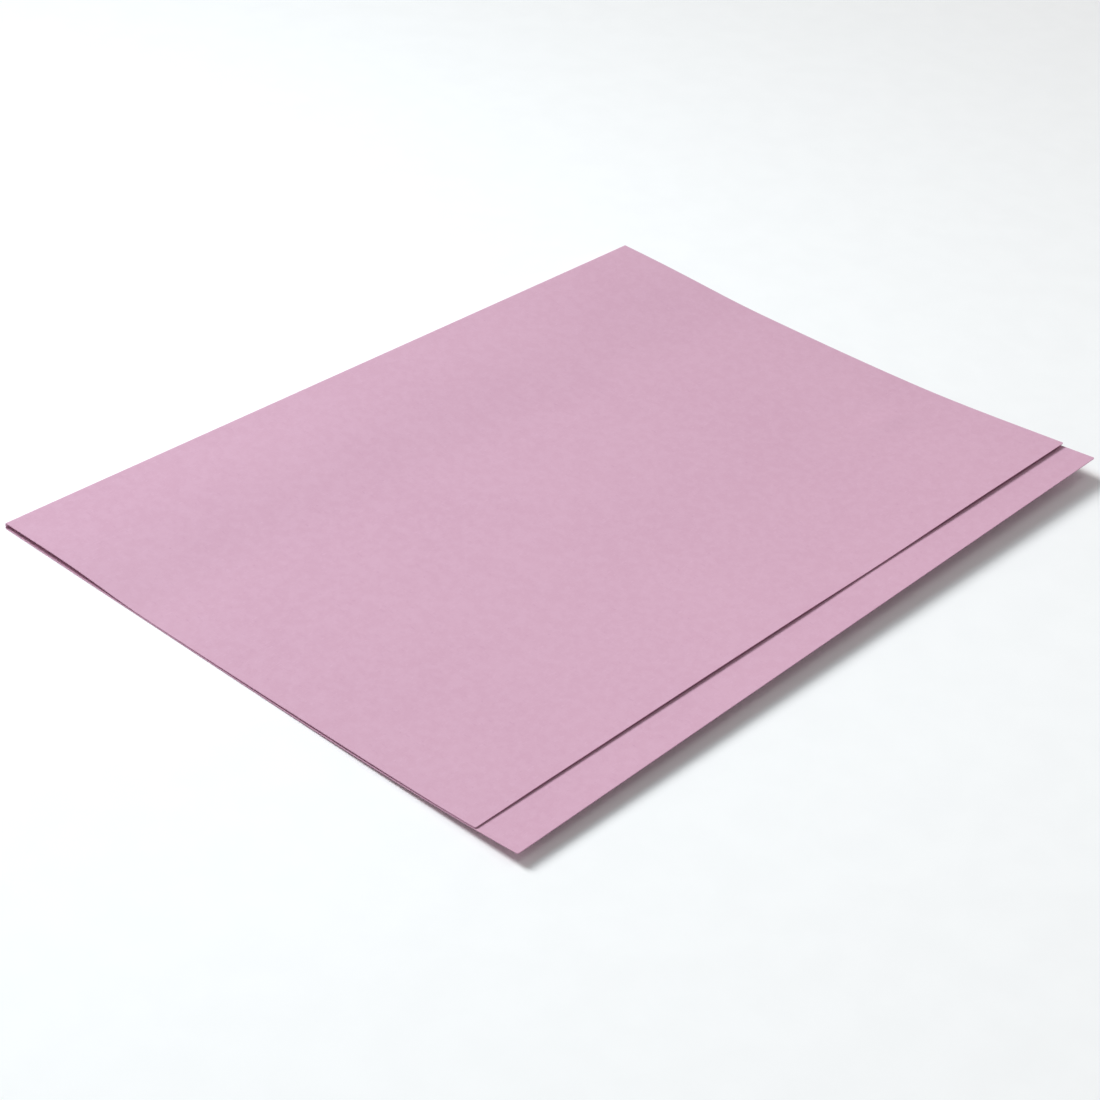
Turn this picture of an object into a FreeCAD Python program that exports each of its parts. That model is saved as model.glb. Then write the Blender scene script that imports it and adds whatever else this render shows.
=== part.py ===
"""Square-cut card folder, lying closed.

One sheet of manilla card is creased twice and folded over: a wide back leaf lies on the table, a narrow
spine stands up at the fold, and a shorter front leaf comes back over the top. The front leaf stops short
of the back leaf, so a strip of the back leaf shows along the open side.

Frame: millimetres, +Z up. X runs along the fold. The fold is at +Y and the open side at -Y. The origin is
the centre of the closed folder's footprint, on the surface that it lies on.
"""

import FreeCAD, Part
import math
import os
import re
import Sketcher

DIMENSIONS = {
    "folder_length": (349.0, "along the fold"),
    "folder_width": (242.0, "closed, from the spine's outer face to the back leaf's free edge"),
    "front_setback": (16.0, "strip of the back leaf that the front leaf leaves bare"),
    "card_thickness": (0.38, "manilla card of about 300 grams a square metre"),
    "fold_height": (2.6, "closed folder's height at the fold, outside"),
    "crease_radius": (0.45, "middle of the card's thickness, round each crease"),
    "cover_slope": (0.37, "degrees that the closed front leaf falls towards its free edge"),
    "corner_radius": (0.8, "softened corners of the leaves"),
}
SHEET = "Dimensions"
START, END, CENTRE = 1, 2, 3
ORIGIN_POINT = (-1, 1)
MINIMUM_LEAF_GAP = 0.3


def make_dimensions(doc):
    """The sheet that every sketch and pad reads its sizes from."""
    sheet = doc.addObject("Spreadsheet::Sheet", SHEET)
    for row, (alias, (value, note)) in enumerate(DIMENSIONS.items(), start=1):
        sheet.set(f"A{row}", alias)
        sheet.set(f"B{row}", str(value))
        sheet.set(f"C{row}", note)
        sheet.setAlias(f"B{row}", alias)
    doc.recompute()
    return sheet


def bound(text):
    """An expression in which each dimension's name is read from the sheet."""
    return re.sub("|".join(DIMENSIONS), lambda name: f"{SHEET}.{name.group()}", text)


def value_of(doc, text):
    """The number that an expression over the dimensions gives."""
    return float(doc.getObject(SHEET).evalExpression(bound(text)))


# Places in the folded cross-section, each worked out from the driving dimensions.
CREASE_CENTRE_Y = "folder_width / 2 - card_thickness / 2 - crease_radius"
REAR_CREASE_CENTRE_Z = "card_thickness / 2 + crease_radius"
FRONT_CREASE_CENTRE_Z = "fold_height - card_thickness / 2 - crease_radius"
CREASE_OUTER_RADIUS = "crease_radius + card_thickness / 2"
CREASE_INNER_RADIUS = "crease_radius - card_thickness / 2"
HALF_WIDTH = "folder_width / 2"
COVER_REACH = "folder_width / 2 - front_setback"


def point(y, z):
    """A point of a cross-section sketch: its first axis is the row's Y and its second the row's Z."""
    return FreeCAD.Vector(y, z, 0.0)


def new_profile(doc, label):
    """A body named after its piece, with an empty cross-section sketch on its own YZ plane."""
    body = doc.addObject("PartDesign::Body", label)
    body.Label = label
    sketch = body.newObject("Sketcher::SketchObject", label + "_profile")
    plane = next(f for f in body.Origin.OriginFeatures if f.Role == "YZ_Plane")
    sketch.AttachmentSupport = [(plane, "")]
    sketch.MapMode = "FlatFace"
    return body, sketch


def closed_chain(sketch, points):
    """Straight lines through the points and back to the first, joined end to end."""
    lines = []
    for here, there in zip(points, points[1:] + points[:1]):
        lines.append(sketch.addGeometry(Part.LineSegment(here, there), False))
    for first, second in zip(lines, lines[1:] + lines[:1]):
        sketch.addConstraint(Sketcher.Constraint("Coincident", first, END, second, START))
    return lines


def dimension(sketch, name, expression, kind, *where):
    """A named driving constraint, bound to the sheet."""
    size = value_of(sketch.Document, expression)
    index = sketch.addConstraint(Sketcher.Constraint(kind, *where, size))
    sketch.renameConstraint(index, name)
    sketch.setExpression("Constraints." + name, bound(expression))


def place_crease_centre(sketch, geometry, end, centre_z):
    """Holds a sketch point at the middle of a crease's bend."""
    dimension(sketch, "centre_y", CREASE_CENTRE_Y, "DistanceX", *ORIGIN_POINT, geometry, end)
    dimension(sketch, "centre_z", centre_z, "DistanceY", *ORIGIN_POINT, geometry, end)


def lean_with_cover(sketch, line):
    """Holds a line square to the closed front leaf."""
    angle = math.radians(value_of(sketch.Document, "90 + cover_slope"))
    index = sketch.addConstraint(Sketcher.Constraint("Angle", line, angle))
    sketch.renameConstraint(index, "lean")
    sketch.setExpression("Constraints.lean", bound("90 deg + cover_slope * 1 deg"))


def pad_along_fold(doc, body, sketch):
    """Runs a cross-section along the whole length of the fold, half to each side."""
    doc.recompute()
    pad = body.newObject("PartDesign::Pad", body.Label + "_pad")
    pad.Profile = sketch
    pad.Length = DIMENSIONS["folder_length"][0]
    pad.setExpression("Length", bound("folder_length"))
    pad.SideType = "Symmetric"
    sketch.Visibility = False
    doc.recompute()
    return pad


def soften_free_corners(doc, body, pad, free_end):
    """Rounds the two corners at a leaf's free edge, seen from above."""
    half_length = DIMENSIONS["folder_length"][0] / 2
    thickness = DIMENSIONS["card_thickness"][0]
    names = []
    for number, edge in enumerate(pad.Shape.Edges, start=1):
        middle = edge.CenterOfMass
        at_end = abs(abs(middle.x) - half_length) < thickness / 2
        at_free_edge = abs(middle.y - free_end) < thickness
        if at_end and at_free_edge and edge.Length < 2 * thickness:
            names.append(f"Edge{number}")
    if len(names) != 2:
        raise RuntimeError(f"{body.Label} has {len(names)} free corners")
    fillet = body.newObject("PartDesign::Fillet", body.Label + "_corners")
    fillet.Base = (pad, names)
    fillet.Radius = DIMENSIONS["corner_radius"][0]
    fillet.setExpression("Radius", bound("corner_radius"))
    doc.recompute()


def back_leaf(doc):
    """The wide leaf that lies flat on the table, from the rear crease to its free edge."""
    body, sketch = new_profile(doc, "back_leaf")
    thickness = DIMENSIONS["card_thickness"][0]
    fold_end = value_of(doc, CREASE_CENTRE_Y)
    free_end = -value_of(doc, HALF_WIDTH)
    corners = [
        point(free_end, 0.0),
        point(fold_end, 0.0),
        point(fold_end, thickness),
        point(free_end, thickness),
    ]
    under, at_fold, over, at_free = closed_chain(sketch, corners)
    for line in (under, over):
        sketch.addConstraint(Sketcher.Constraint("Horizontal", line))
    for line in (at_fold, at_free):
        sketch.addConstraint(Sketcher.Constraint("Vertical", line))
    sketch.addConstraint(Sketcher.Constraint("PointOnObject", under, START, -1))
    dimension(sketch, "thickness", "card_thickness", "DistanceY", at_fold, START, at_fold, END)
    dimension(sketch, "fold_end", CREASE_CENTRE_Y, "DistanceX", *ORIGIN_POINT, under, END)
    dimension(sketch, "free_end", HALF_WIDTH, "DistanceX", under, START, *ORIGIN_POINT)
    pad = pad_along_fold(doc, body, sketch)
    soften_free_corners(doc, body, pad, free_end)
    return body


def spine_strip(doc):
    """The narrow upright strip between the two creases."""
    body, sketch = new_profile(doc, "spine_strip")
    outside = value_of(doc, HALF_WIDTH)
    inside = outside - DIMENSIONS["card_thickness"][0]
    low = value_of(doc, REAR_CREASE_CENTRE_Z)
    high = value_of(doc, FRONT_CREASE_CENTRE_Z)
    corners = [point(inside, low), point(outside, low), point(outside, high), point(inside, high)]
    foot, outer, head, inner = closed_chain(sketch, corners)
    for line in (foot, head):
        sketch.addConstraint(Sketcher.Constraint("Horizontal", line))
    for line in (outer, inner):
        sketch.addConstraint(Sketcher.Constraint("Vertical", line))
    dimension(sketch, "thickness", "card_thickness", "DistanceX", foot, START, foot, END)
    dimension(sketch, "outer_face", HALF_WIDTH, "DistanceX", *ORIGIN_POINT, foot, END)
    dimension(sketch, "foot_height", REAR_CREASE_CENTRE_Z, "DistanceY", *ORIGIN_POINT, foot, END)
    dimension(sketch, "head_height", FRONT_CREASE_CENTRE_Z, "DistanceY", *ORIGIN_POINT, head, START)
    pad_along_fold(doc, body, sketch)
    return body


def crease(doc, label, centre_z, from_degrees, to_degrees, start_line, end_line):
    """The bent strip of card round one crease, between the lines that its two ends lie along.

    A line is "Horizontal", "Vertical" or "Sloped", which is square to the closed front leaf.
    """
    body, sketch = new_profile(doc, label)
    centre = point(value_of(doc, CREASE_CENTRE_Y), value_of(doc, centre_z))
    arcs = []
    for expression in (CREASE_OUTER_RADIUS, CREASE_INNER_RADIUS):
        circle = Part.Circle(centre, FreeCAD.Vector(0, 0, 1), value_of(doc, expression))
        bend = Part.ArcOfCircle(circle, math.radians(from_degrees), math.radians(to_degrees))
        arcs.append(sketch.addGeometry(bend, False))
    outer, inner = arcs
    ends = []
    for end, direction in ((START, start_line), (END, end_line)):
        here = sketch.getPoint(inner, end)
        there = sketch.getPoint(outer, end)
        line = sketch.addGeometry(Part.LineSegment(here, there), False)
        sketch.addConstraint(Sketcher.Constraint("Coincident", line, START, inner, end))
        sketch.addConstraint(Sketcher.Constraint("Coincident", line, END, outer, end))
        ends.append((line, direction))
    sketch.addConstraint(Sketcher.Constraint("Coincident", outer, CENTRE, inner, CENTRE))
    place_crease_centre(sketch, outer, CENTRE, centre_z)
    dimension(sketch, "outer_radius", CREASE_OUTER_RADIUS, "Radius", outer)
    dimension(sketch, "inner_radius", CREASE_INNER_RADIUS, "Radius", inner)
    for line, direction in ends:
        sketch.addConstraint(Sketcher.Constraint("PointOnObject", outer, CENTRE, line))
        if direction == "Sloped":
            lean_with_cover(sketch, line)
        else:
            sketch.addConstraint(Sketcher.Constraint(direction, line))
    pad_along_fold(doc, body, sketch)
    return body


def rear_crease(doc):
    """Turns the card up from the back leaf into the spine."""
    return crease(doc, "rear_crease", REAR_CREASE_CENTRE_Z, 270.0, 360.0, "Vertical", "Horizontal")


def front_crease(doc):
    """Turns the card over from the spine into the front leaf."""
    top = value_of(doc, "90 + cover_slope")
    return crease(doc, "front_crease", FRONT_CREASE_CENTRE_Z, 0.0, top, "Horizontal", "Sloped")


def front_leaf(doc):
    """The shorter leaf on top: it falls a little from the front crease to its free edge."""
    body, sketch = new_profile(doc, "front_leaf")
    slope = math.radians(DIMENSIONS["cover_slope"][0])
    free_end = -value_of(doc, COVER_REACH)
    centre = point(value_of(doc, CREASE_CENTRE_Y), value_of(doc, FRONT_CREASE_CENTRE_Z))
    square = point(-math.sin(slope), math.cos(slope))
    along = point(-math.cos(slope), -math.sin(slope))
    outer_start = centre + square * value_of(doc, CREASE_OUTER_RADIUS)
    inner_start = centre + square * value_of(doc, CREASE_INNER_RADIUS)
    reach = (outer_start.x - free_end) / math.cos(slope)
    corners = [outer_start, outer_start + along * reach, inner_start + along * reach, inner_start]
    over, at_free, under, at_crease = closed_chain(sketch, corners)
    spoke = sketch.addGeometry(Part.LineSegment(centre, inner_start), True)
    place_crease_centre(sketch, spoke, START, FRONT_CREASE_CENTRE_Z)
    sketch.addConstraint(Sketcher.Constraint("Coincident", spoke, END, at_crease, START))
    dimension(sketch, "spoke", CREASE_INNER_RADIUS, "Distance", spoke)
    sketch.addConstraint(Sketcher.Constraint("Parallel", spoke, at_crease))
    sketch.addConstraint(Sketcher.Constraint("Perpendicular", at_crease, over))
    sketch.addConstraint(Sketcher.Constraint("Parallel", over, under))
    sketch.addConstraint(Sketcher.Constraint("Perpendicular", over, at_free))
    dimension(sketch, "thickness", "card_thickness", "Distance", at_crease)
    dimension(sketch, "free_end", COVER_REACH, "DistanceX", over, END, *ORIGIN_POINT)
    lean_with_cover(sketch, spoke)
    pad = pad_along_fold(doc, body, sketch)
    soften_free_corners(doc, body, pad, free_end)
    return body


def hinge_axes(doc):
    """The Y and Z of each crease's hinge axis, which runs along X.

    A quarter bend of middle radius r holds a strip of card pi/2 r long. Its two ends lie where the flat
    strip's would, once the card is turned a right angle, only about the axis that stands pi/4 r out from
    the bend's centre and r - pi/4 r in from the middle of the leaf's thickness.
    """
    radius = DIMENSIONS["crease_radius"][0]
    outwards = math.pi / 4 * radius
    inwards = radius - outwards
    y = value_of(doc, CREASE_CENTRE_Y) + outwards
    rear_z = value_of(doc, "card_thickness / 2") + inwards
    front_z = value_of(doc, "fold_height - card_thickness / 2") - inwards
    return {"rear": (y, rear_z), "front": (y, front_z)}


def check(doc, bodies):
    """Stops on a failed feature, a loose sketch, or a piece that isn't one sound solid."""
    failed = [o.Name for o in doc.Objects if "Invalid" in o.State or "Error" in o.State]
    if failed:
        raise RuntimeError(f"features failed: {failed}")
    for sketch in doc.findObjects("Sketcher::SketchObject"):
        if sketch.solve() != 0 or not sketch.FullyConstrained:
            raise RuntimeError(f"{sketch.Name} isn't fully constrained")
    for body in bodies:
        shape = body.Shape
        if shape.isNull() or not shape.isValid() or len(shape.Solids) != 1:
            raise RuntimeError(f"{body.Label} isn't one valid solid")
    back, front = bodies[0].Shape, bodies[-1].Shape
    gap = back.distToShape(front)[0]
    if gap < MINIMUM_LEAF_GAP:
        raise RuntimeError(f"the leaves are only {gap:.2f} mm apart")
    print(f"closest gap between the leaves: {gap:.3f} mm")


def main():
    doc = FreeCAD.newDocument("card_folder")
    make_dimensions(doc)
    makers = (back_leaf, rear_crease, spine_strip, front_crease, front_leaf)
    bodies = [make(doc) for make in makers]
    doc.recompute()
    check(doc, bodies)
    os.makedirs("parts", exist_ok=True)
    for body in bodies:
        body.Shape.exportStep(os.path.join("parts", body.Label + ".step"))
        box = body.Shape.BoundBox
        size = f"{box.XLength:.2f} x {box.YLength:.2f} x {box.ZLength:.2f} mm"
        print(f"{body.Label}: {size}, {body.Shape.Volume:.1f} mm3")
    for name, (y, z) in hinge_axes(doc).items():
        print(f"{name} hinge axis at y {y:.4f}, z {z:.4f}")


main()
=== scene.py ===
import math

import bpy
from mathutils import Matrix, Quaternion, Vector, noise


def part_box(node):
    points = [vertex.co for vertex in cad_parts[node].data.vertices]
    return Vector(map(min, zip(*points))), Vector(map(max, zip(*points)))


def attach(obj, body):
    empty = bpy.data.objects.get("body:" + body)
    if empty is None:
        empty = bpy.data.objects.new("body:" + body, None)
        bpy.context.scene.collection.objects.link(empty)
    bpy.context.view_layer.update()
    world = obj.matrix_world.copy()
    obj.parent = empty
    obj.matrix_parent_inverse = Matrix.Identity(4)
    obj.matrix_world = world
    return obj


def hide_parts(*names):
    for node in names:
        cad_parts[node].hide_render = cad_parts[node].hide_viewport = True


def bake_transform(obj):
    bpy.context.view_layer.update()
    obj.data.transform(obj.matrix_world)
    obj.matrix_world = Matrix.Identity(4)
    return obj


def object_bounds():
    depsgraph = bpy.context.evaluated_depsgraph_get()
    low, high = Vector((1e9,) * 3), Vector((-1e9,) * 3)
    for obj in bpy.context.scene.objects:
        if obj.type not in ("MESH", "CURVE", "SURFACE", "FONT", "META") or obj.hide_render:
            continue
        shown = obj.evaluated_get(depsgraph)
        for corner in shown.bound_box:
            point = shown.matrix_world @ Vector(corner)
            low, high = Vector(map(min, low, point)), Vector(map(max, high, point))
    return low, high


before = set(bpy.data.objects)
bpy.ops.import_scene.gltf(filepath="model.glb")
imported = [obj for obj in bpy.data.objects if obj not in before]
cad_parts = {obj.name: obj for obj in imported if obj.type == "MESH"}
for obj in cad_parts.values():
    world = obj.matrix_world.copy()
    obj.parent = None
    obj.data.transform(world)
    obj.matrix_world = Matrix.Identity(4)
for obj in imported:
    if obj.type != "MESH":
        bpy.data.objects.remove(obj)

# A square-cut card folder lies closed on a pale table. One sheet of card is creased twice: the back leaf
# lies on the table, a narrow spine stands at the fold, and the shorter front leaf comes back over the top.
# The sheet is cut flat, but the real card has curled a little, so both leaves lift towards the open side.
# Lengths are in metres. X runs along the fold, the fold is at +Y and the open side at -Y.

MM = 0.001

cad_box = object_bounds()
back_low, back_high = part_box("back_leaf")
spine_low, spine_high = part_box("spine_strip")
cover_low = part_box("front_leaf")[0]

# ---------------------------------------------------------------- places and sizes, from the frame

THICKNESS = spine_high.y - spine_low.y
HALF_CARD = THICKNESS / 2
HALF_LENGTH = back_high.x
FOLD_Y = spine_high.y
SEAM_Y = back_high.y
BACK_FREE_Y = back_low.y
COVER_FREE_Y = cover_low.y
FOLD_HEIGHT = cad_box[1].z
CREASE_RADIUS = FOLD_Y - HALF_CARD - SEAM_Y
REAR_CREASE_Z = spine_low.z
FRONT_CREASE_Z = spine_high.z
COVER_REACH = SEAM_Y - COVER_FREE_Y

# ---------------------------------------------------------------- how the card lies

# The free edge's lift at the middle of its length, and how much more it is at +X. The power sets how
# late the curl starts on its way from the fold to the free edge.
CURL_LIFT = 6.45 * MM
CURL_LIFT_SIDE = 2.05 * MM
CURL_POWER = 3.97
CURL_POWER_SIDE = -0.83
RIPPLE = 0.12 * MM
RIPPLE_SCALE = 11.0

# The leaves stand apart at the fold, bulge a little as they close, and then lie one on the other, with
# some slack in the front leaf at its near end. Near is -X. A skew above 1 moves a bulge's highest point
# away from the fold, and one below 1 moves it towards the fold.
CONTACT_GAP = 0.06 * MM
FOLD_OPENING_REACH = 76.0 * MM
FOLD_BULGE_NEAR = 0.8 * MM
FOLD_BULGE_FAR = 0.2 * MM
FOLD_BULGE_SKEW = 0.95
SLACK = 0.7 * MM
SLACK_SKEW = 1.8

# Share of the free edge's length from -X, and how far the front leaf's free edge stands off the back leaf.
EDGE_LIFTS = (
    (0.0, 0.2 * MM),
    (0.11, 0.5 * MM),
    (0.35, 0.76 * MM),
    (0.47, 0.72 * MM),
    (0.62, 0.3 * MM),
    (0.85, 1.0 * MM),
    (1.0, 1.05 * MM),
)
EDGE_LIFT_REACH = 70.0 * MM

# The front leaf isn't folded quite square: its free edge stands this much further out at +X, and
# this much further in at -X.
COVER_SKEW = 1.5 * MM

# A faint ridge in the front leaf, from being handled: its middle, its turn from +X, and its size.
KINK_X = 138.5 * MM
KINK_Y = -45.0 * MM
KINK_TURN = math.radians(-15)
KINK_LENGTH = 12.0 * MM
KINK_WIDTH = 4.5 * MM
KINK_HEIGHT = 0.65 * MM

# ---------------------------------------------------------------- mesh detail

CORNER_RADIUS = 0.8 * MM
CHAMFER = 0.05 * MM
GRID_SPACING = 4.2 * MM
CREASE_STEPS = 8
SHARP_ANGLE = math.radians(35)


def smooth(share):
    """0 before 0, 1 after 1, and an even start and end between them."""
    share = min(max(share, 0.0), 1.0)
    return share * share * (3 - 2 * share)


def side_of(x):
    """-1 at the folder's -X end and +1 at its +X end."""
    return x / HALF_LENGTH


def curl(x, y):
    """How far the back leaf's underside stands off the table."""
    reach = min(max((FOLD_Y - y) / (FOLD_Y - BACK_FREE_Y), 0.0), 1.0)
    side = side_of(x)
    lift = CURL_LIFT + CURL_LIFT_SIDE * side
    return lift * reach ** (CURL_POWER + CURL_POWER_SIDE * side)


def ripple(x, y):
    """The card's faint unevenness, never below the table and none at the creases."""
    wave = 0.5 + 0.5 * noise.noise(Vector((x, y, 0.0)) * RIPPLE_SCALE)
    return RIPPLE * wave * smooth((SEAM_Y - y) / FOLD_OPENING_REACH)


def edge_lift(x):
    """How far the front leaf's free edge stands off the back leaf."""
    share = (side_of(x) + 1) / 2
    for (start, low), (end, high) in zip(EDGE_LIFTS, EDGE_LIFTS[1:]):
        if share <= end:
            return low + (high - low) * smooth((share - start) / (end - start))
    return EDGE_LIFTS[-1][1]


def hump(share, skew):
    """0 at 0 and at 1, and 1 at its top between them."""
    return math.sin(math.pi * min(share, 1.0) ** skew) ** 2


def gap(x, y):
    """The clear height between the two leaves."""
    distance = max(SEAM_Y - y, 0.0)
    near = (1 - side_of(x)) / 2
    closed = smooth(distance / FOLD_OPENING_REACH)
    at_fold = FOLD_HEIGHT - 2 * THICKNESS
    bulge = FOLD_BULGE_FAR + (FOLD_BULGE_NEAR - FOLD_BULGE_FAR) * near
    bulge *= hump(distance / FOLD_OPENING_REACH, FOLD_BULGE_SKEW)
    slack = SLACK * near * hump(distance / COVER_REACH, SLACK_SKEW)
    edge = edge_lift(x) * smooth(1 - (COVER_REACH - distance) / EDGE_LIFT_REACH)
    return at_fold * (1 - closed) + CONTACT_GAP * closed + bulge + slack + edge


def kink(x, y):
    """How far the ridge from handling stands up out of the front leaf."""
    x, y = x - KINK_X, y - KINK_Y
    along = x * math.cos(KINK_TURN) + y * math.sin(KINK_TURN)
    across = y * math.cos(KINK_TURN) - x * math.sin(KINK_TURN)
    distance = math.hypot(along / KINK_LENGTH, across / KINK_WIDTH)
    return KINK_HEIGHT * math.exp(-distance * distance)


def back_middle(x, y):
    """The height of the middle of the back leaf's thickness."""
    return curl(x, y) + ripple(x, y) + HALF_CARD


def cover_middle(x, y):
    """The height of the middle of the front leaf's thickness."""
    return back_middle(x, y) + THICKNESS + gap(x, y) + kink(x, y)


def rim_lines(low, high, cut_low=True, cut_high=True):
    """Grid lines from low to high, evenly spaced, with close ones at each cut edge for its rounding."""
    rim = [0.0, CHAMFER, CORNER_RADIUS / 3, CORNER_RADIUS * 2 / 3]
    start = low + CORNER_RADIUS if cut_low else low
    end = high - CORNER_RADIUS if cut_high else high
    count = max(1, round((end - start) / GRID_SPACING))
    lines = [start + (end - start) * step / count for step in range(count + 1)]
    if cut_low:
        lines = [low + distance for distance in rim] + lines
    if cut_high:
        lines += [high - distance for distance in reversed(rim)]
    return lines


def round_corner(x, y, free_y):
    """Moves a point of a leaf's square corner onto its rounded one."""
    across = (abs(x) - (HALF_LENGTH - CORNER_RADIUS)) / CORNER_RADIUS
    along = (free_y + CORNER_RADIUS - y) / CORNER_RADIUS
    if across <= 0 or along <= 0:
        return x, y
    round_across = across * math.sqrt(1 - along * along / 2)
    round_along = along * math.sqrt(1 - across * across / 2)
    x = math.copysign(HALF_LENGTH - CORNER_RADIUS + CORNER_RADIUS * round_across, x)
    return x, free_y + CORNER_RADIUS - CORNER_RADIUS * round_along


def add_to_scene(thing):
    bpy.context.scene.collection.objects.link(thing)


def closed_sheet(name, columns, rows, place, cut_rows):
    """A closed sheet of card on a grid. place(column, row, half) gives a point half a card off its middle.

    The grid's first and last columns are cut edges, and so are the rows that cut_rows lists: there the
    card is thinner by a chamfer. The cut edges take the piece's second material.
    """
    last_column, last_row = len(columns) - 1, len(rows) - 1
    points = []
    for half_sign in (1, -1):
        for i, column in enumerate(columns):
            for j, row in enumerate(rows):
                at_edge = i in (0, last_column) or j in cut_rows
                half = HALF_CARD - (CHAMFER if at_edge else 0.0)
                points.append(place(column, row, half_sign * half))

    def index(face, i, j):
        return (face * len(columns) + i) * len(rows) + j

    faces, cut = [], []
    cut_cells = {j if j == 0 else j - 1 for j in cut_rows}
    for i in range(last_column):
        for j in range(last_row):
            faces.append([index(0, i, j), index(0, i + 1, j), index(0, i + 1, j + 1), index(0, i, j + 1)])
            faces.append([index(1, i, j), index(1, i, j + 1), index(1, i + 1, j + 1), index(1, i + 1, j)])
            at_edge = i in (0, last_column - 1) or j in cut_cells
            cut += [at_edge, at_edge]
    rim = [(i, 0) for i in range(last_column)]
    rim += [(last_column, j) for j in range(last_row)]
    rim += [(i, last_row) for i in range(last_column, 0, -1)]
    rim += [(0, j) for j in range(last_row, 0, -1)]
    for (i, j), (k, m) in zip(rim, rim[1:] + rim[:1]):
        faces.append([index(0, i, j), index(1, i, j), index(1, k, m), index(0, k, m)])
        cut.append(i == k or j in cut_rows)
    mesh = bpy.data.meshes.new(name)
    mesh.from_pydata(points, [], faces)
    mesh.polygons.foreach_set("material_index", [int(is_cut) for is_cut in cut])
    mesh.shade_smooth()
    mesh.set_sharp_from_angle(angle=SHARP_ANGLE)
    mesh.validate()
    piece = bpy.data.objects.new(name, mesh)
    add_to_scene(piece)
    return piece


def leaf(name, free_y, middle, skew):
    """A leaf from its crease to its free edge, whose middle height middle(x, y) gives."""
    columns = rim_lines(-HALF_LENGTH, HALF_LENGTH)
    rows = rim_lines(free_y, SEAM_Y, cut_high=False)

    def place(column, row, half):
        x, y = round_corner(column, row, free_y)
        y -= skew * side_of(x) * (SEAM_Y - y) / (SEAM_Y - free_y)
        return Vector((x, y, middle(x, y) + half))

    return closed_sheet(name, columns, rows, place, cut_rows=(0,))


def crease_piece(name, centre_z, start_degrees, end_degrees):
    """The bent strip of card round one crease."""
    columns = rim_lines(-HALF_LENGTH, HALF_LENGTH)
    turn = end_degrees - start_degrees
    rows = [math.radians(start_degrees + turn * step / CREASE_STEPS) for step in range(CREASE_STEPS + 1)]

    def place(column, row, half):
        radius = CREASE_RADIUS + half
        return Vector((column, SEAM_Y + radius * math.cos(row), centre_z + radius * math.sin(row)))

    return closed_sheet(name, columns, rows, place, cut_rows=())


def spine_piece(name):
    """The upright strip of card between the two creases."""
    columns = rim_lines(-HALF_LENGTH, HALF_LENGTH)
    rows = [REAR_CREASE_Z, (REAR_CREASE_Z + FRONT_CREASE_Z) / 2, FRONT_CREASE_Z]

    def place(column, row, half):
        return Vector((column, SEAM_Y + CREASE_RADIUS + half, row))

    return closed_sheet(name, columns, rows, place, cut_rows=())


# ---------------------------------------------------------------- materials

CARD_COLOUR = (0.638, 0.372, 0.482)
FIBRE_LIGHT = (0.704, 0.439, 0.561)
FIBRE_DARK = (0.516, 0.261, 0.380)
# The cut edge's colour: partly the dyed edge's own tone, partly painted shade darkening the shadow line
# under the front leaf's free edge.
EDGE_TONE_AND_PAINTED_SHADE = (0.600, 0.335, 0.465)
CRACK_COLOUR = (0.730, 0.560, 0.640)
TABLE_COLOUR = (0.960, 0.950, 0.947)
TABLE_PALE = (0.975, 0.965, 0.962)

SPECULAR = 0.28
CARD_ROUGHNESS_RANGE = (0.67, 0.79)
EDGE_ROUGHNESS = 0.9
CREASE_ROUGHNESS = 0.85
TABLE_ROUGHNESS = 0.85

# A pattern's scale is how often it repeats in a metre.
CLOUD_SCALE = 16.0
FORMATION_SCALE = 260.0
PALE_FIBRE_SCALE = 480.0
DARK_FIBRE_SCALE = 430.0
FLECK_SCALE = 240.0
FLECK_PATCH_SCALE = 110.0
TOOTH_SCALE = 2600.0
POLISH_SCALE = 700.0
PLY_SCALE = 900.0
FUZZ_SCALE = 3200.0
CRACK_SCALE = 2600.0
CRACK_PATCH_SCALE = 45.0
TABLE_GRAIN_SCALE = 60.0

# A stretch factor above 1 squeezes a pattern along that axis, and one below 1 draws it out. A turn is
# about Z, in radians.
PALE_FIBRE_STRETCH = (1.0, 6.0, 1.0)
PALE_FIBRE_TURN = 0.5
DARK_FIBRE_STRETCH = (6.0, 1.0, 1.0)
DARK_FIBRE_TURN = -0.35
PLY_STRETCH = (0.25, 0.25, 9.0)
CRACK_STRETCH = (0.18, 1.0, 1.0)

# The values between which a pattern fades in or out.
EVEN_FADE = (0.3, 0.7)
FORMATION_FADE = (0.35, 0.68)
PALE_FIBRE_FADE = (0.56, 0.74)
DARK_FIBRE_FADE = (0.58, 0.76)
FLECK_FADE = (0.05, 0.12)
FLECK_PATCH_FADE = (0.60, 0.64)
PLY_FADE = (0.35, 0.7)
CRACK_FADE = (0.50, 0.68)
CRACK_PATCH_FADE = (0.35, 0.65)

# How strongly a pattern shows, from 0 to 1.
CLOUD_SHARE = 0.10
FORMATION_SHARE = 0.28
PALE_FIBRE_SHARE = 0.75
DARK_FIBRE_SHARE = 0.45
FLECK_SHARE = 0.35
CRACK_SHARE = 0.3
LEAST_CRACKED = 0.25
FIBRE_RELIEF = 0.35

# The depth of a surface's relief, and the bump node's strength.
FACE_RELIEF = (0.02 * MM, 0.45)
ROUGH_RELIEF = (0.03 * MM, 0.6)
TABLE_RELIEF = (0.02 * MM, 0.1)

# The colour mix node has a set of sockets for each kind of value. These are the ones for colours.
MIX_SHARE = 0
MIX_FIRST = 6
MIX_SECOND = 7
MIX_RESULT = 2


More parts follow.
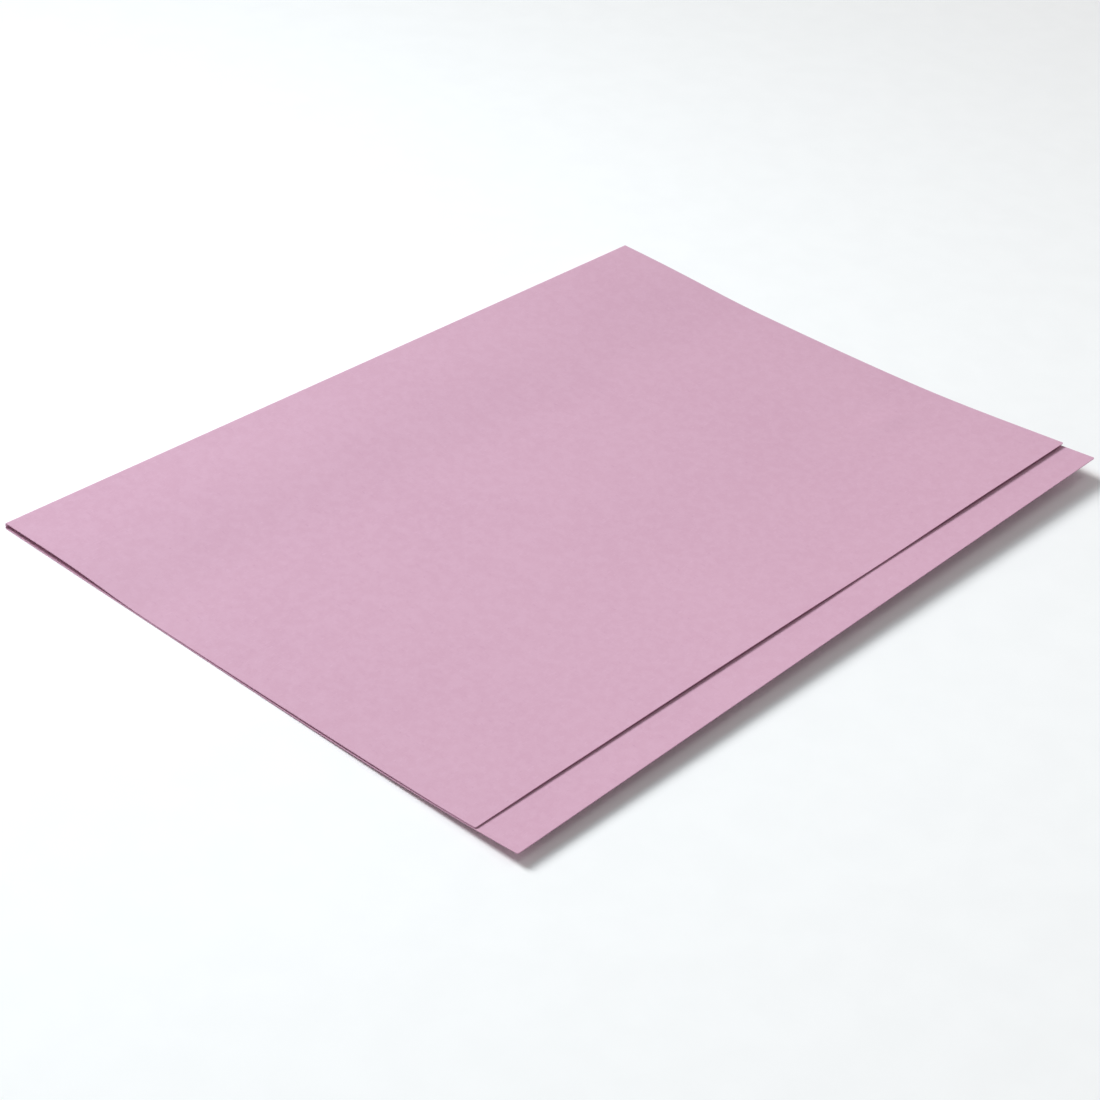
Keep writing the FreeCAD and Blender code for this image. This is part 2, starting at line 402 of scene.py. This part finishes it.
class Nodes:
    """A short way to lay out the nodes of a material or of the world."""

    def __init__(self, owner, coordinates="Object"):
        owner.use_nodes = True
        self.owner = owner
        self.tree = owner.node_tree
        self.tree.nodes.clear()
        self.place = self.add("ShaderNodeTexCoord").outputs[coordinates]

    def add(self, kind, settings=None, **inputs):
        node = self.tree.nodes.new(kind)
        for key, value in (settings or {}).items():
            setattr(node, key, value)
        for key, value in inputs.items():
            self.put(node.inputs[key.replace("_", " ")], value)
        return node

    def put(self, socket, value):
        if isinstance(value, bpy.types.NodeSocket):
            self.tree.links.new(value, socket)
        else:
            socket.default_value = value

    def stretched(self, scale, turn=0.0):
        """Object coordinates, turned about Z and stretched."""
        node = self.add("ShaderNodeMapping", Vector=self.place)
        node.inputs["Rotation"].default_value = (0.0, 0.0, turn)
        node.inputs["Scale"].default_value = scale
        return node.outputs["Vector"]

    def noise(self, place, scale, detail=2.0, roughness=0.5, distortion=0.0):
        node = self.add("ShaderNodeTexNoise", Vector=place, Scale=scale, Detail=detail)
        self.put(node.inputs["Roughness"], roughness)
        self.put(node.inputs["Distortion"], distortion)
        return node.outputs["Fac"]

    def ramp(self, value, fade, results=(0.0, 1.0)):
        """Goes smoothly from the first result to the second as the value crosses the fade."""
        node = self.add("ShaderNodeMapRange", {"interpolation_type": "SMOOTHSTEP"}, Value=value)
        for key, number in zip(("From Min", "From Max", "To Min", "To Max"), (*fade, *results)):
            self.put(node.inputs[key], number)
        return node.outputs["Result"]

    def maths(self, operation, first, second):
        node = self.add("ShaderNodeMath", {"operation": operation})
        self.put(node.inputs[0], first)
        self.put(node.inputs[1], second)
        return node.outputs["Value"]

    def mix(self, share, first, second):
        node = self.add("ShaderNodeMix", {"data_type": "RGBA", "blend_type": "MIX"})
        for key, value in ((MIX_SHARE, share), (MIX_FIRST, first), (MIX_SECOND, second)):
            if isinstance(value, tuple):
                value = (*value, 1.0)
            self.put(node.inputs[key], value)
        return node.outputs[MIX_RESULT]

    def shader(self, colour, roughness, height, relief):
        depth, strength = relief
        bump = self.add("ShaderNodeBump", Height=height, Distance=depth, Strength=strength)
        shader = self.add("ShaderNodeBsdfPrincipled")
        self.put(shader.inputs["Base Color"], colour)
        self.put(shader.inputs["Roughness"], roughness)
        self.put(shader.inputs["Normal"], bump.outputs["Normal"])
        shader.inputs["Specular IOR Level"].default_value = SPECULAR
        self.add("ShaderNodeOutputMaterial", Surface=shader.outputs["BSDF"])
        return self.owner


def fibre_layers(nodes):
    """Short fibres lying both ways across the card: a share of pale ones and a share of dark ones."""
    pale_place = nodes.stretched(PALE_FIBRE_STRETCH, PALE_FIBRE_TURN)
    dark_place = nodes.stretched(DARK_FIBRE_STRETCH, DARK_FIBRE_TURN)
    pale = nodes.noise(pale_place, PALE_FIBRE_SCALE, detail=3.0, roughness=0.55, distortion=0.8)
    dark = nodes.noise(dark_place, DARK_FIBRE_SCALE, detail=3.0, roughness=0.55, distortion=1.0)
    return nodes.ramp(pale, PALE_FIBRE_FADE), nodes.ramp(dark, DARK_FIBRE_FADE)


def card_colour(nodes):
    """Dyed manilla: an even pink, clouded a little, with fibres and a few flecks in it."""
    cloud = nodes.noise(nodes.place, CLOUD_SCALE, detail=3.0)
    colour = nodes.mix(nodes.ramp(cloud, EVEN_FADE, (0.0, CLOUD_SHARE)), CARD_COLOUR, FIBRE_DARK)
    formation = nodes.noise(nodes.place, FORMATION_SCALE, detail=4.0, roughness=0.6)
    colour = nodes.mix(nodes.ramp(formation, FORMATION_FADE, (0.0, FORMATION_SHARE)), colour, FIBRE_LIGHT)
    pale, dark = fibre_layers(nodes)
    colour = nodes.mix(nodes.maths("MULTIPLY", pale, PALE_FIBRE_SHARE), colour, FIBRE_LIGHT)
    colour = nodes.mix(nodes.maths("MULTIPLY", dark, DARK_FIBRE_SHARE), colour, FIBRE_DARK)
    cells = nodes.add("ShaderNodeTexVoronoi", Vector=nodes.place, Scale=FLECK_SCALE)
    spots = nodes.ramp(cells.outputs["Distance"], FLECK_FADE, (1.0, 0.0))
    patches = nodes.ramp(nodes.noise(nodes.place, FLECK_PATCH_SCALE, detail=1.0), FLECK_PATCH_FADE)
    flecks = nodes.maths("MULTIPLY", nodes.maths("MULTIPLY", spots, patches), FLECK_SHARE)
    return nodes.mix(flecks, colour, FIBRE_DARK), pale, dark


def tooth(nodes, pale, dark):
    """The height of the card's surface: a fine tooth with the pale fibres standing up in it."""
    grain = nodes.noise(nodes.place, TOOTH_SCALE, detail=3.0, roughness=0.6)
    fibres = nodes.maths("SUBTRACT", pale, dark)
    return nodes.maths("ADD", grain, nodes.maths("MULTIPLY", fibres, FIBRE_RELIEF))


def card_face_material():
    nodes = Nodes(bpy.data.materials.new("pink_manilla"))
    colour, pale, dark = card_colour(nodes)
    polish = nodes.noise(nodes.place, POLISH_SCALE)
    roughness = nodes.ramp(polish, EVEN_FADE, CARD_ROUGHNESS_RANGE)
    return nodes.shader(colour, roughness, tooth(nodes, pale, dark), FACE_RELIEF)


def cut_edge_material():
    """The sheet's cut edge, with its plies showing as fine lines. It is darker than the face partly from the
    dyed edge's tone and partly as painted shade, to deepen the shadow line at the front leaf's free edge.
    """
    nodes = Nodes(bpy.data.materials.new("pink_manilla_cut_edge"))
    plies = nodes.noise(nodes.stretched(PLY_STRETCH), PLY_SCALE, detail=3.0, roughness=0.6)
    # The plies fade from the cut edge's colour, which is partly painted shade, to the face's pink.
    colour = nodes.mix(nodes.ramp(plies, PLY_FADE), EDGE_TONE_AND_PAINTED_SHADE, CARD_COLOUR)
    fuzz = nodes.noise(nodes.place, FUZZ_SCALE, roughness=0.6)
    return nodes.shader(colour, EDGE_ROUGHNESS, nodes.maths("ADD", fuzz, plies), ROUGH_RELIEF)


def crease_material():
    """Creased card: the pressed line has cracked the dyed surface into fine pale streaks along it."""
    nodes = Nodes(bpy.data.materials.new("pink_manilla_crease"))
    colour, pale, dark = card_colour(nodes)
    streak_place = nodes.stretched(CRACK_STRETCH)
    streaks = nodes.noise(streak_place, CRACK_SCALE, detail=4.0, roughness=0.65, distortion=0.3)
    patches = nodes.ramp(nodes.noise(nodes.place, CRACK_PATCH_SCALE), CRACK_PATCH_FADE, (LEAST_CRACKED, 1.0))
    cracks = nodes.maths("MULTIPLY", nodes.ramp(streaks, CRACK_FADE), patches)
    colour = nodes.mix(nodes.maths("MULTIPLY", cracks, CRACK_SHARE), colour, CRACK_COLOUR)
    height = nodes.maths("SUBTRACT", tooth(nodes, pale, dark), cracks)
    return nodes.shader(colour, CREASE_ROUGHNESS, height, ROUGH_RELIEF)


def table_material():
    nodes = Nodes(bpy.data.materials.new("pale_table"))
    grain = nodes.noise(nodes.place, TABLE_GRAIN_SCALE, detail=3.0)
    colour = nodes.mix(nodes.ramp(grain, EVEN_FADE), TABLE_COLOUR, TABLE_PALE)
    return nodes.shader(colour, TABLE_ROUGHNESS, grain, TABLE_RELIEF)


# ---------------------------------------------------------------- the folder

face, cut_edge, creased = card_face_material(), cut_edge_material(), crease_material()


def finish_piece(piece, node, surface):
    """Gives a piece its materials and hides the frame's part that it stands for."""
    piece.data.materials.append(surface)
    piece.data.materials.append(cut_edge)
    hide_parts(node)


back = leaf("back_leaf_card", BACK_FREE_Y, back_middle, skew=0.0)
finish_piece(back, "back_leaf", face)
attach(back, "back")

cover = leaf("front_leaf_card", COVER_FREE_Y, cover_middle, skew=COVER_SKEW)
finish_piece(cover, "front_leaf", face)
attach(cover, "front")

spine = spine_piece("spine_card")
finish_piece(spine, "spine_strip", creased)
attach(spine, "spine")

rear = crease_piece("rear_crease_card", REAR_CREASE_Z, start_degrees=270, end_degrees=360)
finish_piece(rear, "rear_crease", creased)
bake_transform(rear)

front = crease_piece("front_crease_card", FRONT_CREASE_Z, start_degrees=0, end_degrees=90)
finish_piece(front, "front_crease", creased)
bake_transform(front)

# ---------------------------------------------------------------- table, lights and camera

TABLE_SIZE = 24.0
TABLE_DROP = 0.02 * MM

# The sky's brightness at the horizon and overhead, and the height of a direction where it is at its least.
SKY_HORIZON = 0.68
SKY_TOP = 0.25
SKY_BAND = 0.35
WHITE = (1.0, 1.0, 1.0, 1.0)

KEY_AZIMUTH = math.radians(192)
KEY_ELEVATION = math.radians(42)
KEY_STRENGTH = 1.95
KEY_SOFTNESS = math.radians(22)

COOL_PLACE = (-0.25, 0.45, 0.7)
COOL_SIZE = 0.4
COOL_POWER = 3.4
COOL_COLOUR = (0.78, 0.94, 1.0)

WARM_PLACE = (0.3, -0.3, 1.2)
WARM_SIZE = 0.5
WARM_POWER = 1.4
WARM_COLOUR = (1.0, 0.97, 0.96)

CAMERA_AZIMUTH = math.radians(-53.64)
CAMERA_ELEVATION = math.radians(33.52)
CAMERA_ROLL = math.radians(7.67)
CAMERA_DISTANCE = 0.9302
CAMERA_TARGET = Vector((-0.0340, -0.0142, 0.0))
CAMERA_LENS = 83.42
CLIP_START = 0.01
CLIP_END = 50.0


def make_table():
    mesh = bpy.data.meshes.new("table")
    half = TABLE_SIZE / 2
    outline = [(-half, -half), (half, -half), (half, half), (-half, half)]
    mesh.from_pydata([(x, y, -TABLE_DROP) for x, y in outline], [], [(0, 1, 2, 3)])
    mesh.materials.append(table_material())
    table = bpy.data.objects.new("table", mesh)
    add_to_scene(table)


def way_to(azimuth, elevation):
    """The way from the folder to a light or camera. Azimuth 0 is towards -Y, and it turns towards +X."""
    level = math.cos(elevation)
    return Vector((math.sin(azimuth) * level, -math.cos(azimuth) * level, math.sin(elevation)))


def add_facing(thing, way, roll=0.0):
    """Adds a light or camera that stands this way from the folder and looks back at it."""
    thing.rotation_mode = "QUATERNION"
    thing.rotation_quaternion = way.to_track_quat("Z", "Y") @ Quaternion((0, 0, 1), roll)
    add_to_scene(thing)


def softbox(name, place, size, power, colour):
    """A square area light that faces the folder."""
    lamp = bpy.data.lights.new(name, "AREA")
    lamp.shape = "SQUARE"
    lamp.size = size
    lamp.energy = power
    lamp.color = colour
    light = bpy.data.objects.new(name, lamp)
    light.location = place
    add_facing(light, Vector(place))


def sun(name, azimuth, elevation, strength, softness):
    """Broad light from far off."""
    lamp = bpy.data.lights.new(name, "SUN")
    lamp.energy = strength
    lamp.angle = softness
    add_facing(bpy.data.objects.new(name, lamp), way_to(azimuth, elevation))


def make_world():
    """A dim white sky that brightens towards the horizon, as a studio's walls do."""
    world = bpy.data.worlds.new("studio")
    nodes = Nodes(world, "Generated")
    height = nodes.add("ShaderNodeSeparateXYZ", Vector=nodes.place).outputs["Z"]
    strength = nodes.ramp(height, (0.0, SKY_BAND), (SKY_HORIZON, SKY_TOP))
    background = nodes.add("ShaderNodeBackground", Color=WHITE, Strength=strength)
    nodes.add("ShaderNodeOutputWorld", Surface=background.outputs["Background"])
    bpy.context.scene.world = world


def make_camera():
    """The camera, at the photo's viewing angle."""
    data = bpy.data.cameras.new("camera")
    data.lens = CAMERA_LENS
    data.clip_start = CLIP_START
    data.clip_end = CLIP_END
    camera = bpy.data.objects.new("camera", data)
    way = way_to(CAMERA_AZIMUTH, CAMERA_ELEVATION)
    camera.location = CAMERA_TARGET + way * CAMERA_DISTANCE
    add_facing(camera, way, CAMERA_ROLL)
    bpy.context.scene.camera = camera


make_table()
make_world()
sun("key", KEY_AZIMUTH, KEY_ELEVATION, KEY_STRENGTH, KEY_SOFTNESS)
softbox("cool_side", COOL_PLACE, COOL_SIZE, COOL_POWER, COOL_COLOUR)
softbox("warm_side", WARM_PLACE, WARM_SIZE, WARM_POWER, WARM_COLOUR)
make_camera()
bpy.context.scene.view_settings.view_transform = "Standard"
